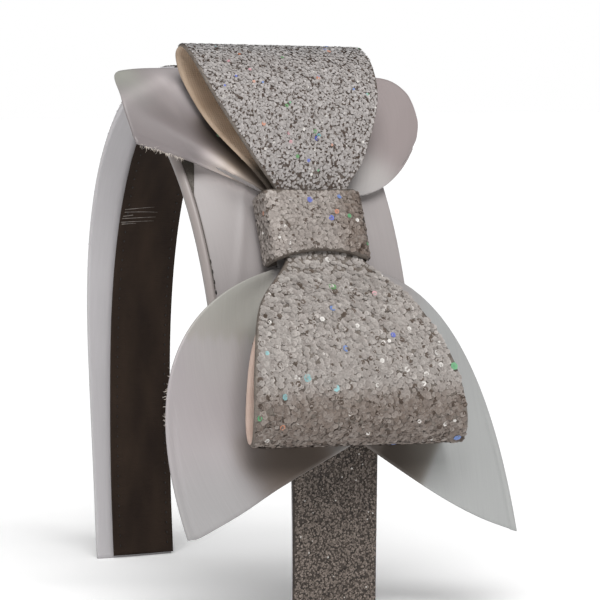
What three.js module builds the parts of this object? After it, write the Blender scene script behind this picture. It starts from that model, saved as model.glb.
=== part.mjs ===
// Bow headband: a stiff arch that stands on its two ends, with a glitter bow and a satin bow on one side.
// Millimetres, +Z up. The arch lies in the YZ plane, the bow sits on the -Y leg and the band is wide along X.
import * as THREE from 'three';

// Band
const CORE_WIDTH_FAR = 21;
const CORE_WIDTH_NEAR = 20.4;
const COVER_WIDTH_FAR = 20.2;
const COVER_WIDTH_NEAR = 21.8;
const TOP_GROWTH = 3.6;
const GROWTH_FROM = 150;
const GROWTH_TO = 50;
const CORE_THICKNESS = 1.6;
const CORE_CHAMFER = 0.5;
const SKIN_THICKNESS = 1.0;
const SKIN_CHAMFER = 0.25;
const LAYER_GAP = 0.3;
const LINING_WIDTH = 17;
const SKIN_END_HEIGHT = 0.6;

// Arch: a rounded bow, a little squarer than an ellipse, on two legs that come in towards the ends
const ARCH_HALF_SPAN = 59;
const ARCH_RISE = 77.4;
const ARCH_POWER = 2.35;
const LEG_DROP = 49;
const LEG_COME_IN = 1.6;
const ARCH_SAMPLES = 480;
const ARCH_STATIONS = 57;

// Bow: where it sits on the arch, and how it leans and bends round it
const BOW_HEIGHT = LEG_DROP + 39;
const BOW_SHIFT_X = -4.4;
const BOW_LEAN = THREE.MathUtils.degToRad(-2);
const BOW_SKEW = 0.04;
const BEND_START = 8;
const BEND_SLOPE_UP = 0.3;
const BEND_SLOPE_DOWN = 0.12;
const BEND_EASE = 8;

// Satin ribbon under the bow
const BASE_LEFT = -26.5;
const BASE_RIGHT = 23.1;
const BASE_LEAN = THREE.MathUtils.degToRad(3.5);
const BASE_HALF_LENGTH = 26;
const BASE_THICKNESS = 1.0;
const BASE_DRAPE = 0.009;
const HEM_WIDTH = 2.2;
const HEM_RISE = 0.9;
const BASE_ROWS = 15;
const BASE_COLUMNS = 20;
const HEM_COLUMNS = 3;

// Satin bow
const SATIN_THICKNESS = 1.0;
const SATIN_LEVEL = 3.85;
const SATIN_WAIST_HALF = 9;
const SATIN_WAIST_REACH = 8.8;
const PLEAT_COUNT = 4;
const PLEAT_DEPTH = 0.7;
const PLEAT_REACH = 0.75;
const PLEAT_RISE = 0.2;
const PLEAT_AT_KNOT = 0.3;
const SATIN_ROWS_UP = 13;
const SATIN_ROWS_DOWN = 17;
const SATIN_COLUMNS = 31;

// Glitter bow and knot
const CANVAS_THICKNESS = 1.2;
const LOOP_STATIONS = 80;
const LOOP_COLUMNS = 7;
const WAIST_SHIFT = -1.2;
const KNOT_HALF_WIDTH = 12.2;
const KNOT_BACK = 1.6;
const KNOT_FRONT = 9.9;
const KNOT_SQUARENESS = 8;
const KNOT_HALF_LENGTH = 7.9;
const KNOT_BOTTOM_ARC = 2.2;
const KNOT_CROWN = 0.6;
const KNOT_STATIONS = 40;
const KNOT_COLUMNS = 7;

// Each ray of the satin bow runs from the knot past a control point to its end on the cut edge.
// q is the place across the ribbon, a runs down along the bow, b to the right, c out of the band.
const SATIN_DOWN_RAYS = [
  { q: -1.0, a1: 20.5, b1: -54.8, c1: 9.0, a2: 70.2, b2: -39, c2: 1.0 },
  { q: -0.75, a1: 23, b1: -38, c1: 4.5, a2: 64.6, b2: -26.8, c2: 2.4 },
  { q: -0.5, a1: 25, b1: -25, c1: 2.2, a2: 58.8, b2: -16, c2: 2.6 },
  { q: 0.0, a1: 26, b1: 2, c1: 2.2, a2: 48.5, b2: 5.5, c2: 2.2 },
  { q: 0.5, a1: 23, b1: 24, c1: 2.2, a2: 61, b2: 23.4, c2: 2.6 },
  { q: 0.75, a1: 18.5, b1: 32.6, c1: 3.8, a2: 66.8, b2: 34, c2: 2.4 },
  { q: 1.0, a1: 10.6, b1: 39.2, c1: 5.0, a2: 70.4, b2: 44.7, c2: 1.0 },
];
const SATIN_UP_RAYS = [
  { q: -1.0, a1: -17.4, b1: -21.7, c1: 1.5, a2: -22.2, b2: -39.2, c2: 3.0 },
  { q: -0.8, a1: -20.8, b1: -23.5, c1: 4.4, a2: -33.1, b2: -40.5, c2: 5.0 },
  { q: -0.6, a1: -25, b1: -22, c1: 3.4, a2: -41.9, b2: -37.7, c2: 3.0 },
  { q: 0.0, a1: -24, b1: 0, c1: 2.4, a2: -41.5, b2: 0, c2: 1.5 },
  { q: 0.5, a1: -22, b1: 19, c1: 3.0, a2: -40.9, b2: 28.8, c2: 2.5 },
  { q: 0.7, a1: -17, b1: 21.8, c1: 4.2, a2: -36.6, b2: 34.1, c2: 4.0 },
  { q: 0.84, a1: -12.6, b1: 22.6, c1: 4.0, a2: -29.6, b2: 34.9, c2: 4.0 },
  { q: 0.93, a1: -9.9, b1: 22.5, c1: 3.2, a2: -25.2, b2: 33.7, c2: 3.6 },
  { q: 1.0, a1: -7.6, b1: 22.1, c1: 2.2, a2: -21.2, b2: 31.4, c2: 3.0 },
];

// Once round the glitter strip: out along the front of the upper loop, back to the waist behind it,
// out along the back of the lower loop and home along its front. left and right are half widths.
const LOOP_PROFILE = [
  { a: 0, c: 7.5, left: 9.2, right: 7.2 },
  { a: -8, c: 7.8, left: 9.2, right: 7.4 },
  { a: -16, c: 12, left: 15.2, right: 12.4 },
  { a: -29, c: 17, left: 22.8, right: 17.4 },
  { a: -39, c: 17, left: 25.4, right: 19.2 },
  { a: -44.5, c: 13.2, left: 25.4, right: 19.5 },
  { a: -43.5, c: 8.6, left: 25, right: 19.8 },
  { a: -37, c: 6.6, left: 24, right: 19.6 },
  { a: -26, c: 6.4, left: 20.6, right: 17.6 },
  { a: -14, c: 6.2, left: 12.8, right: 11.8 },
  { a: -7, c: 5.8, left: 9.2, right: 7.6 },
  { a: 0, c: 5.7, left: 8.8, right: 7.2 },
  { a: 7, c: 5.8, left: 8.6, right: 8.2 },
  { a: 15, c: 6.3, left: 14, right: 15.2 },
  { a: 29, c: 6.6, left: 20.6, right: 22.2 },
  { a: 42, c: 6.8, left: 23.6, right: 25.4 },
  { a: 49, c: 8.8, left: 25, right: 26.8 },
  { a: 50.8, c: 13, left: 26, right: 27 },
  { a: 45.5, c: 17.5, left: 26.8, right: 26 },
  { a: 34, c: 18, left: 25.4, right: 23.6 },
  { a: 20, c: 13.8, left: 20.4, right: 18 },
  { a: 8, c: 7.8, left: 9.6, right: 9 },
];

const SATIN = { color: 0xb3adab, roughness: 0.38, metalness: 0 };
const GLITTER = { color: 0x9a938f, roughness: 0.45, metalness: 0.35 };
const SHADED_GLITTER = { color: 0x5c524b, roughness: 0.5, metalness: 0.3 };
const LINING = { color: 0x33281f, roughness: 0.7, metalness: 0 };

// One half of the arch as a polyline from the apex to the tip, measured by its length
const halfArch = (() => {
  const samples = [];
  for (let i = 0; i <= ARCH_SAMPLES; i += 1) {
    const angle = (Math.PI / 2) * (1 - i / ARCH_SAMPLES);
    const across = Math.max(0, Math.cos(angle)) ** (2 / ARCH_POWER);
    const upward = Math.sin(angle) ** (2 / ARCH_POWER);
    const out = across ** (ARCH_POWER - 1) / ARCH_HALF_SPAN;
    const up = upward ** (ARCH_POWER - 1) / ARCH_RISE;
    const size = Math.hypot(out, up);
    samples.push({
      out: ARCH_HALF_SPAN * across,
      z: LEG_DROP + ARCH_RISE * upward,
      normalOut: out / size,
      normalUp: up / size,
    });
  }
  for (let i = 1; i <= ARCH_SAMPLES; i += 1) {
    const part = i / ARCH_SAMPLES;
    samples.push({
      out: ARCH_HALF_SPAN - LEG_COME_IN * part * part,
      z: LEG_DROP * (1 - part),
      normalOut: 1,
      normalUp: 0,
    });
  }
  let along = 0;
  samples.forEach((sample, i) => {
    if (i > 0) along += Math.hypot(sample.out - samples[i - 1].out, sample.z - samples[i - 1].z);
    sample.along = along;
  });
  return samples;
})();
const HALF_LENGTH = halfArch[halfArch.length - 1].along;

// Point of the arch at a signed length from the apex: positive towards the leg with the bow
function archAt(length) {
  const reach = Math.min(Math.abs(length), HALF_LENGTH);
  let i = 1;
  while (i < halfArch.length - 1 && halfArch[i].along < reach) i += 1;
  const low = halfArch[i - 1];
  const high = halfArch[i];
  const t = (reach - low.along) / (high.along - low.along);
  const side = length < 0 ? 1 : -1;
  return {
    y: side * THREE.MathUtils.lerp(low.out, high.out, t),
    z: THREE.MathUtils.lerp(low.z, high.z, t),
    normalY: side * THREE.MathUtils.lerp(low.normalOut, high.normalOut, t),
    normalZ: THREE.MathUtils.lerp(low.normalUp, high.normalUp, t),
  };
}

function onArch(length, x, height) {
  const at = archAt(length);
  return new THREE.Vector3(x, at.y + at.normalY * height, at.z + at.normalZ * height);
}

// Closed body from its corner list, turned to face out
function solid(name, corners, faces, finish) {
  let volume = 0;
  for (const [i, j, k] of faces) volume += corners[i].dot(corners[j].clone().cross(corners[k]));
  const index = faces.flatMap(([i, j, k]) => (volume > 0 ? [i, j, k] : [i, k, j]));
  const geometry = new THREE.BufferGeometry();
  const numbers = corners.flatMap((corner) => corner.toArray());
  geometry.setAttribute('position', new THREE.Float32BufferAttribute(numbers, 3));
  geometry.setIndex(index);
  geometry.computeVertexNormals();
  const mesh = new THREE.Mesh(geometry, new THREE.MeshStandardMaterial(finish));
  mesh.name = name;
  return mesh;
}

function quad(faces, i, j, k, l) {
  faces.push([i, j, k], [i, k, l]);
}

// A convex section carried along the arch and closed at both ends
function sweep(name, from, to, sectionAt, finish) {
  const corners = [];
  const faces = [];
  let size = 0;
  for (let i = 0; i < ARCH_STATIONS; i += 1) {
    const length = THREE.MathUtils.lerp(from, to, i / (ARCH_STATIONS - 1));
    const section = sectionAt(length);
    size = section.length;
    for (const [x, height] of section) corners.push(onArch(length, x, height));
  }
  for (let i = 0; i < ARCH_STATIONS - 1; i += 1) {
    for (let j = 0; j < size; j += 1) {
      const next = (j + 1) % size;
      quad(faces, i * size + j, i * size + next, (i + 1) * size + next, (i + 1) * size + j);
    }
  }
  const last = (ARCH_STATIONS - 1) * size;
  for (let j = 1; j < size - 1; j += 1) {
    faces.push([0, j + 1, j], [last, last + j, last + j + 1]);
  }
  return solid(name, corners, faces, finish);
}

// A wall given by its front and back points in rows and columns. A loop joins its last row to its first.
function wall(name, rows, columns, front, back, loop, finish) {
  const corners = [];
  for (const side of [front, back]) {
    for (let i = 0; i < rows; i += 1) {
      for (let j = 0; j < columns; j += 1) corners.push(side(i, j));
    }
  }
  const faces = [];
  const at = (i, j) => (i % rows) * columns + j;
  const hind = (i, j) => rows * columns + at(i, j);
  const steps = loop ? rows : rows - 1;
  for (let i = 0; i < steps; i += 1) {
    for (let j = 0; j < columns - 1; j += 1) {
      quad(faces, at(i, j), at(i, j + 1), at(i + 1, j + 1), at(i + 1, j));
      quad(faces, hind(i, j), hind(i + 1, j), hind(i + 1, j + 1), hind(i, j + 1));
    }
    const end = columns - 1;
    quad(faces, at(i, 0), at(i + 1, 0), hind(i + 1, 0), hind(i, 0));
    quad(faces, at(i + 1, end), at(i, end), hind(i, end), hind(i + 1, end));
  }
  if (!loop) {
    const end = rows - 1;
    for (let j = 0; j < columns - 1; j += 1) {
      quad(faces, at(0, j + 1), at(0, j), hind(0, j), hind(0, j + 1));
      quad(faces, at(end, j), at(end, j + 1), hind(end, j + 1), hind(end, j));
    }
  }
  return solid(name, corners, faces, finish);
}

function boxSection(left, right, low, high, chamfer) {
  return [
    [left + chamfer, low], [right - chamfer, low], [right, low + chamfer], [right, high - chamfer],
    [right - chamfer, high], [left + chamfer, high], [left, high - chamfer], [left, low + chamfer],
  ];
}

// Band layers
const CORE_HALF = CORE_THICKNESS / 2;
const COVER_LOW = CORE_HALF + LAYER_GAP;
const COVER_HIGH = COVER_LOW + SKIN_THICKNESS;
const SKIN_END = HALF_LENGTH - SKIN_END_HEIGHT;

// Half a width that changes from the far leg to the near one, and grows towards the top of the arch
function halfWidth(length, far, near) {
  const change = THREE.MathUtils.smoothstep(length, -HALF_LENGTH / 3, HALF_LENGTH / 3);
  const growth = TOP_GROWTH * (1 - THREE.MathUtils.smoothstep(Math.abs(length), GROWTH_TO, GROWTH_FROM));
  return (THREE.MathUtils.lerp(far, near, change) + growth) / 2;
}

function buildCore() {
  const sectionAt = (length) => {
    const half = halfWidth(length, CORE_WIDTH_FAR, CORE_WIDTH_NEAR);
    return boxSection(-half, half, -CORE_HALF, CORE_HALF, CORE_CHAMFER);
  };
  return sweep('band_core', -HALF_LENGTH, HALF_LENGTH, sectionAt, SATIN);
}

function buildCover() {
  const sectionAt = (length) => {
    const half = halfWidth(length, COVER_WIDTH_FAR, COVER_WIDTH_NEAR);
    return boxSection(-half, half, COVER_LOW, COVER_HIGH, SKIN_CHAMFER);
  };
  return sweep('glitter_cover', -SKIN_END, SKIN_END, sectionAt, SHADED_GLITTER);
}

function buildLining() {
  const low = -CORE_HALF - LAYER_GAP - SKIN_THICKNESS;
  const sectionAt = (length) => {
    const right = halfWidth(length, CORE_WIDTH_FAR, CORE_WIDTH_NEAR);
    return boxSection(right - LINING_WIDTH, right, low, low + SKIN_THICKNESS, SKIN_CHAMFER);
  };
  return sweep('inner_lining', -SKIN_END, SKIN_END, sectionAt, LINING);
}

// Frame of the bow: its centre on the cover, its axis down along the band, its right and its way out
const bowLength = halfArch.find((sample) => sample.z <= BOW_HEIGHT).along;
const bowCentre = onArch(bowLength, BOW_SHIFT_X, COVER_HIGH);
const bowSeat = archAt(bowLength);
const bowOut = new THREE.Vector3(0, bowSeat.normalY, bowSeat.normalZ);
const straightDown = new THREE.Vector3(0, -bowSeat.normalZ, bowSeat.normalY);
const straightRight = new THREE.Vector3(1, 0, 0);
const bowDown = straightDown.clone().applyAxisAngle(bowOut, BOW_LEAN);
const bowRight = straightRight.clone().applyAxisAngle(bowOut, BOW_LEAN);

// How far the bow drops back towards the band away from the knot
function bend(a) {
  const reach = Math.max(0, Math.abs(a) - BEND_START);
  const slope = a < 0 ? BEND_SLOPE_UP : BEND_SLOPE_DOWN;
  return (slope * reach * reach) / (reach + BEND_EASE);
}

function bowPoint(a, b, c) {
  const point = bowCentre.clone();
  point.addScaledVector(bowDown, a);
  point.addScaledVector(bowRight, b + BOW_SKEW * a);
  return point.addScaledVector(bowOut, c - bend(a));
}

function buildBase() {
  const lean = Math.tan(BASE_LEAN);
  const across = (j) => {
    if (j <= HEM_COLUMNS) return BASE_LEFT + (HEM_WIDTH * j) / HEM_COLUMNS;
    const t = (j - HEM_COLUMNS) / (BASE_COLUMNS - 1 - HEM_COLUMNS);
    return THREE.MathUtils.lerp(BASE_LEFT + HEM_WIDTH, BASE_RIGHT, t);
  };
  const point = (i, j, lift) => {
    const a = BASE_HALF_LENGTH * ((2 * i) / (BASE_ROWS - 1) - 1);
    const x = BOW_SHIFT_X + across(j) + a * lean;
    const overhang = Math.max(0, Math.abs(x) - COVER_WIDTH_NEAR / 2);
    const level = COVER_HIGH + LAYER_GAP - BASE_DRAPE * overhang * overhang;
    return onArch(bowLength + a, x, level + lift);
  };
  const hemLift = (j) => (j > 0 && j < HEM_COLUMNS ? HEM_RISE : 0);
  const front = (i, j) => point(i, j, BASE_THICKNESS + hemLift(j));
  const back = (i, j) => point(i, j, 0);
  return wall('satin_base', BASE_ROWS, BASE_COLUMNS, front, back, false, SATIN);
}

// Ray of the satin bow at q, eased through the rows of its half of the table
function rayAt(rays, q) {
  const half = rays.filter((ray) => (q < 0 ? ray.q <= 0 : ray.q >= 0));
  let i = 0;
  while (i < half.length - 2 && half[i + 1].q < q) i += 1;
  const span = half[i + 1].q - half[i].q;
  const t = (q - half[i].q) / span;
  const slope = (key, k) => {
    const low = half[Math.max(k - 1, 0)];
    const high = half[Math.min(k + 1, half.length - 1)];
    return ((high[key] - low[key]) / (high.q - low.q)) * span;
  };
  const ease = (key) => {
    const start = half[i][key];
    const end = half[i + 1][key];
    const leaving = slope(key, i);
    const arriving = slope(key, i + 1);
    const cubic = 2 * start - 2 * end + leaving + arriving;
    const square = -3 * start + 3 * end - 2 * leaving - arriving;
    return ((cubic * t + square) * t + leaving) * t + start;
  };
  return Object.fromEntries(['a1', 'b1', 'c1', 'a2', 'b2', 'c2'].map((key) => [key, ease(key)]));
}

function satinPoint(rays, waistA, p, q) {
  const ray = rayAt(rays, q);
  const near = (1 - p) * (1 - p);
  const middle = 2 * p * (1 - p);
  const far = p * p;
  const fade = Math.max(0, 1 - p / PLEAT_REACH);
  const rise = Math.min(1, PLEAT_AT_KNOT + p / PLEAT_RISE);
  const pleat = PLEAT_DEPTH * rise * fade * fade * Math.cos(q * Math.PI * PLEAT_COUNT) * (1 - q * q);
  return bowPoint(
    near * waistA + middle * ray.a1 + far * ray.a2,
    near * (WAIST_SHIFT + SATIN_WAIST_HALF * q) + middle * ray.b1 + far * ray.b2,
    near * SATIN_LEVEL + middle * ray.c1 + far * ray.c2 + pleat,
  );
}

function buildSatinBow() {
  const rows = SATIN_ROWS_UP + SATIN_ROWS_DOWN;
  const middle = (i, j) => {
    const q = (2 * j) / (SATIN_COLUMNS - 1) - 1;
    if (i < SATIN_ROWS_UP) {
      return satinPoint(SATIN_UP_RAYS, -SATIN_WAIST_REACH, 1 - i / (SATIN_ROWS_UP - 1), q);
    }
    return satinPoint(SATIN_DOWN_RAYS, SATIN_WAIST_REACH, (i - SATIN_ROWS_UP) / (SATIN_ROWS_DOWN - 1), q);
  };
  const outward = (i, j) => {
    const along = middle(Math.min(i + 1, rows - 1), j).sub(middle(Math.max(i - 1, 0), j));
    const across = middle(i, Math.min(j + 1, SATIN_COLUMNS - 1)).sub(middle(i, Math.max(j - 1, 0)));
    return across.cross(along).normalize();
  };
  const facing = outward(SATIN_ROWS_UP, (SATIN_COLUMNS - 1) / 2).dot(bowOut) > 0 ? 1 : -1;
  const offset = (i, j, side) => {
    const shift = (side * facing * SATIN_THICKNESS) / 2;
    return middle(i, j).addScaledVector(outward(i, j), shift);
  };
  const front = (i, j) => offset(i, j, 1);
  const back = (i, j) => offset(i, j, -1);
  return wall('satin_bow', rows, SATIN_COLUMNS, front, back, false, SATIN);
}

function buildGlitterBow() {
  const curve = (key) => new THREE.CatmullRomCurve3(
    LOOP_PROFILE.map((row) => new THREE.Vector3(row.a, row.c, row[key])), true, 'catmullrom', 0.5);
  const leftCurve = curve('left');
  const rightCurve = curve('right');
  const point = (i, j, side) => {
    const t = i / LOOP_STATIONS;
    const left = leftCurve.getPoint(t);
    const right = rightCurve.getPoint(t);
    const tangent = leftCurve.getTangent(t).setZ(0).normalize();
    const b = THREE.MathUtils.lerp(-left.z, right.z, j / (LOOP_COLUMNS - 1));
    const shift = (side * CANVAS_THICKNESS) / 2;
    return bowPoint(left.x + tangent.y * shift, b, left.y - tangent.x * shift);
  };
  const outer = (i, j) => point(i, j, 1);
  const inner = (i, j) => point(i, j, -1);
  return wall('glitter_bow', LOOP_STATIONS, LOOP_COLUMNS, outer, inner, true, GLITTER);
}

// Rounded box in the plane across the bow, as a loop of evenly spaced directions
function knotOutline(turn, inset) {
  const half = KNOT_HALF_WIDTH - inset;
  const depth = (KNOT_FRONT - KNOT_BACK) / 2 - inset;
  const x = Math.cos(turn);
  const y = Math.sin(turn);
  const sum = Math.abs(x) ** KNOT_SQUARENESS + Math.abs(y) ** KNOT_SQUARENESS;
  const size = sum ** (-1 / KNOT_SQUARENESS);
  return { across: half * x * size, c: (KNOT_FRONT + KNOT_BACK) / 2 + depth * y * size };
}

function buildKnot() {
  const point = (i, j, inset) => {
    const turn = (2 * Math.PI * i) / KNOT_STATIONS;
    const { across, c } = knotOutline(turn, inset);
    const bottom = KNOT_HALF_LENGTH - KNOT_BOTTOM_ARC * (1 - (across / KNOT_HALF_WIDTH) ** 2);
    const t = j / (KNOT_COLUMNS - 1);
    const a = THREE.MathUtils.lerp(-KNOT_HALF_LENGTH, bottom, t);
    const crown = KNOT_CROWN * 4 * t * (1 - t) * Math.max(0, Math.sin(turn));
    return bowPoint(a, WAIST_SHIFT + across, c + crown);
  };
  const outer = (i, j) => point(i, j, 0);
  const inner = (i, j) => point(i, j, CANVAS_THICKNESS);
  return wall('knot', KNOT_STATIONS, KNOT_COLUMNS, outer, inner, true, GLITTER);
}

function group(name, pieces) {
  const made = new THREE.Group();
  made.name = name;
  made.add(...pieces);
  return made;
}

const band = group('band', [buildCore(), buildLining(), buildCover()]);
const bow = group('bow', [buildBase(), buildSatinBow(), buildGlitterBow(), buildKnot()]);
const headband = group('bow_headband', [band, bow]);

// The part's origin is the middle of its footprint, on the surface that it stands on
const box = new THREE.Box3().setFromObject(headband);
const footprint = box.getCenter(new THREE.Vector3()).setZ(box.min.z);
band.position.sub(footprint);
bow.position.sub(footprint);

export default headband;
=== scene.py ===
import math

import bpy
import numpy as np
from mathutils import Matrix, Vector


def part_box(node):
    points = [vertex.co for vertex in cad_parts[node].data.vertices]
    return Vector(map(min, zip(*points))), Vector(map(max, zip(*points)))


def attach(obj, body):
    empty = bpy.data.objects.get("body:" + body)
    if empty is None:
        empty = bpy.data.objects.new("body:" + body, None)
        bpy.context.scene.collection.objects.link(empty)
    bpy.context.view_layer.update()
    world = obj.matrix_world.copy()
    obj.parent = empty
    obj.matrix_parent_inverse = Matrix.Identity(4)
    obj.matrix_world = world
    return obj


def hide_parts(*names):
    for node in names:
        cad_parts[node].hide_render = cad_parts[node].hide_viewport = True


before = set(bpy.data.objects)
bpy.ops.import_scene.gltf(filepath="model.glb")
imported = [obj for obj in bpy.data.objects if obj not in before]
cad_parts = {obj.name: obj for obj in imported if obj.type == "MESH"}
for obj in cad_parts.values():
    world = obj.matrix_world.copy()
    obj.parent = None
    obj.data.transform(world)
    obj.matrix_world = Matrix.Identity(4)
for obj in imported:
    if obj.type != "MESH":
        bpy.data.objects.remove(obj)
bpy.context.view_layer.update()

# Sizes are in millimetres, as on the part's drawing, and each mesh is scaled to metres when it is made.
MM = 0.001


def tone(red, green, blue):
    """Linear colour of a colour written as 0 to 255 on the screen."""
    screen = np.array([red, green, blue]) / 255
    linear = np.where(screen <= 0.04045, screen / 12.92, ((screen + 0.055) / 1.055) ** 2.4)
    return np.append(linear, 1.0)


# Camera: where the photo was taken from, as seen from the top of the straight legs, with angles in degrees
PHOTO_SIDE = 600
PHOTO_PIXELS_PER_MM = 4.0424
SENSOR_WIDTH = 36.0
CAMERA_DISTANCE = 900
CAMERA_AZIMUTH = -24.97
CAMERA_ELEVATION = 5.35
CAMERA_ROLL = -0.88
CAMERA_AIM_RIGHT = 18.8
CAMERA_AIM_UP = 21.4

# Studio: two soft lights, the brightness of the sky at two heights over the horizon, and the floor
SUNS = {
    "key": {"comes_from": (-0.2, -0.62, 0.75), "strength": 3.3, "softness": math.radians(40)},
    "fill": {"comes_from": (-0.85, -0.35, 0.4), "strength": 0.35, "softness": math.radians(40)},
}
SKY_STOPS = ((0.05, 1.0), (0.2, 0.15))
FLOOR_GLOW = 0.18
FLOOR_RADIUS = 6000
FLOOR_SIDES = 96
FLOOR_DROP = 0.05
FLOOR_TONES = (tone(246, 246, 246), tone(250, 250, 250))

# Band
CORE_WIDTH_FAR = 21
CORE_WIDTH_NEAR = 20.4
CORE_THICKNESS = 1.6
CORE_ROUNDING = 5
CORE_TONE = tone(179, 176, 178)
COVER_WIDTH_FAR = 20.2
COVER_WIDTH_NEAR = 21.8
COVER_PILE = 0.25
COVER_COLUMNS = 41
TOP_GROWTH = 3.6
GROWTH_FROM = 150
GROWTH_TO = 50
SKIN_THICKNESS = 1.0
SKIN_END_HEIGHT = 0.6
LAYER_GAP = 0.3
LINING_WIDTH = 17
LINING_ROUNDING = 2
BAND_STATIONS = 320
RING_POINTS = 48
RING_FULLNESS = 1.02

# Arch: a superellipse on two legs that come in towards the ends
ARCH_HALF_SPAN = 59
ARCH_RISE = 77.4
ARCH_POWER = 2.35
LEG_DROP = 49
LEG_COME_IN = 1.6
ARCH_SAMPLES = 960

# Bow: where it sits on the arch, and how it leans and bends round it
BOW_HEIGHT = LEG_DROP + 39
BOW_SHIFT_X = -4.4
BOW_LEAN = math.radians(-2)
BOW_SKEW = 0.04
BEND_START = 8
BEND_SLOPE_UP = 0.3
BEND_SLOPE_DOWN = 0.12
BEND_EASE = 8

# Satin ribbon under the bow, its hem, and the wedge of canvas beside the hem
BASE_LEFT = -26.5
BASE_RIGHT = 23.1
BASE_LEAN = math.radians(3.5)
BASE_HALF_LENGTH = 26
BASE_THICKNESS = 0.7
BASE_DRAPE = 0.009
BASE_ROWS = 90
BASE_COLUMNS = 90
BASE_FOLD_AT = -16.4
BASE_FOLD_SLOPE = -0.3
BASE_FOLD_LIFT = 0.16
BASE_FOLD_WIDTH = 1.1
# Painted shade on the left of the base ribbon and painted light on its right, evening out the light across it
BASE_TONE_LEFT = tone(137, 131, 130)
BASE_TONE_RIGHT = tone(153, 147, 146)
HEM_WIDTH = 1.7
HEM_END = BASE_LEFT + HEM_WIDTH
HEM_RISE = 0.8
HEM_FULLNESS = 0.6
HEM_FADE = 0.4
HEM_COLUMNS = 13
HEM_TONE = tone(140, 132, 129)
SLIVER_LENGTH = (-24.0, 11.0)
SLIVER_POINT = -11.8
SLIVER_SLOPE = 0.29
SLIVER_TAIL = 0.35
SLIVER_UNDER_HEM = 0.25
SLIVER_LIFT_FRONT = 0.22
SLIVER_LIFT_BACK = 0.04
SLIVER_ROWS = 80
SLIVER_COLUMNS = 9

# Satin bow
SATIN_THICKNESS = 0.55
SATIN_LEVEL = 3.85
SATIN_WAIST_HALF = 9
SATIN_WAIST_REACH = 8.8
SATIN_COLUMNS = 181
SATIN_UP_ROWS = 70
SATIN_DOWN_ROWS = 90
SATIN_KNOT_ROWS = 8
PLEAT_COUNT = 4
PLEAT_DEPTH = 0.7
PLEAT_REACH = 0.75
PLEAT_RISE = 0.2
PLEAT_AT_KNOT = 0.3
SELVEDGE_WIDTH = 0.03
SELVEDGE_DEPTH = 0.3
SELVEDGE_FROM = (0.62, 0.8)
TIP_ROUNDING = 0.007
TIP_START = 0.93

# The lower edge of the upper left lobe rolls under near the knot, and its corner bends back along a crease
ROLL_DEPTH = 2.2
ROLL_START = -0.84
ROLL_RISE = (0.0, 0.12)
ROLL_FADE = (0.42, 0.72)
TUCK_DOWN = -0.28
TUCK_RIGHT = 0.48
CREASE_FROM = (-33.0, -41.0)
CREASE_TO = (-41.5, -22.0)
CREASE_SLOPE = 0.7
CREASE_SOFTNESS = 0.8

# Rays of the satin bow from the knot past a control point to the cut edge.
# Columns: q across the ribbon, then a down the bow, b to its right, c out of the band, at both points
SATIN_DOWN_RAYS = np.array([
    (-1.00, 20.5, -54.8, 9.0, 70.2, -39.0, 1.0),
    (-0.75, 23, -38.0, 4.5, 64.6, -26.8, 2.4),
    (-0.50, 25, -25.0, 2.2, 58.8, -16.0, 2.6),
    (0.00, 26, 2.0, 2.2, 48.5, 5.5, 2.2),
    (0.50, 23, 24.0, 2.2, 61.0, 23.4, 2.6),
    (0.75, 18.5, 32.6, 3.8, 66.8, 34.0, 2.4),
    (1.00, 10.6, 39.2, 5.0, 70.4, 44.7, 1.0),
])
SATIN_UP_RAYS = np.array([
    (-1.00, -17.4, -21.7, 1.5, -22.2, -39.2, 3.0),
    (-0.80, -20.8, -23.5, 4.4, -33.1, -40.5, 5.0),
    (-0.60, -25, -22, 3.4, -41.9, -37.7, 3.0),
    (0.00, -24, 0, 2.4, -41.5, 0.0, 1.5),
    (0.50, -22, 19, 3.0, -40.9, 28.8, 2.5),
    (0.70, -17, 21.8, 4.2, -36.6, 34.1, 4.0),
    (0.84, -12.6, 22.6, 4.0, -29.6, 34.9, 4.0),
    (0.93, -9.9, 22.5, 3.2, -25.2, 33.7, 3.6),
    (1.00, -7.6, 22.1, 2.2, -21.2, 31.4, 3.0),
])

# Tone of the satin bow, with some patches of painted light, shade and sheen: places as a, b and reach, each
# with its colour
SATIN_PATCHES = (
    (0, 0, 14, tone(145, 140, 139)),
    (-28, -31, 12, tone(119, 112, 112)),
    # Painted light and shade of the bent-back corner and its crease
    (-41, -37, 4, tone(156, 157, 148)),
    (-35, -36, 4, tone(150, 146, 145)),
    # Painted light on the upper left lobe, beside the upper loop and on its rolled edge, where shade falls
    (-37, -25, 6, tone(162, 155, 155)),
    (-12, -17, 5, tone(188, 181, 177)),
    (-28, 28, 14, tone(142, 132, 131)),
    # Painted light low on the upper right lobe
    (-12, 17, 6, tone(178, 174, 172)),
    # Painted sheen on the left tail, darker above and pale below
    (15, -23, 8, tone(160, 158, 156)),
    (30, -29, 6, tone(165, 161, 160)),
    (42, -36, 14, tone(155, 149, 150)),
    (63, -34, 9, tone(148, 146, 146)),
    (50, 38, 18, tone(153, 154, 153)),
    # Painted shadow of the lower loop on both tails
    (53, -14, 7, tone(93, 82, 74)),
    (53, 13, 6, tone(84, 73, 65)),
)
PATCH_FLOOR = 1e-6
SATIN_BACK_TONE = tone(165, 160, 159)

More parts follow.
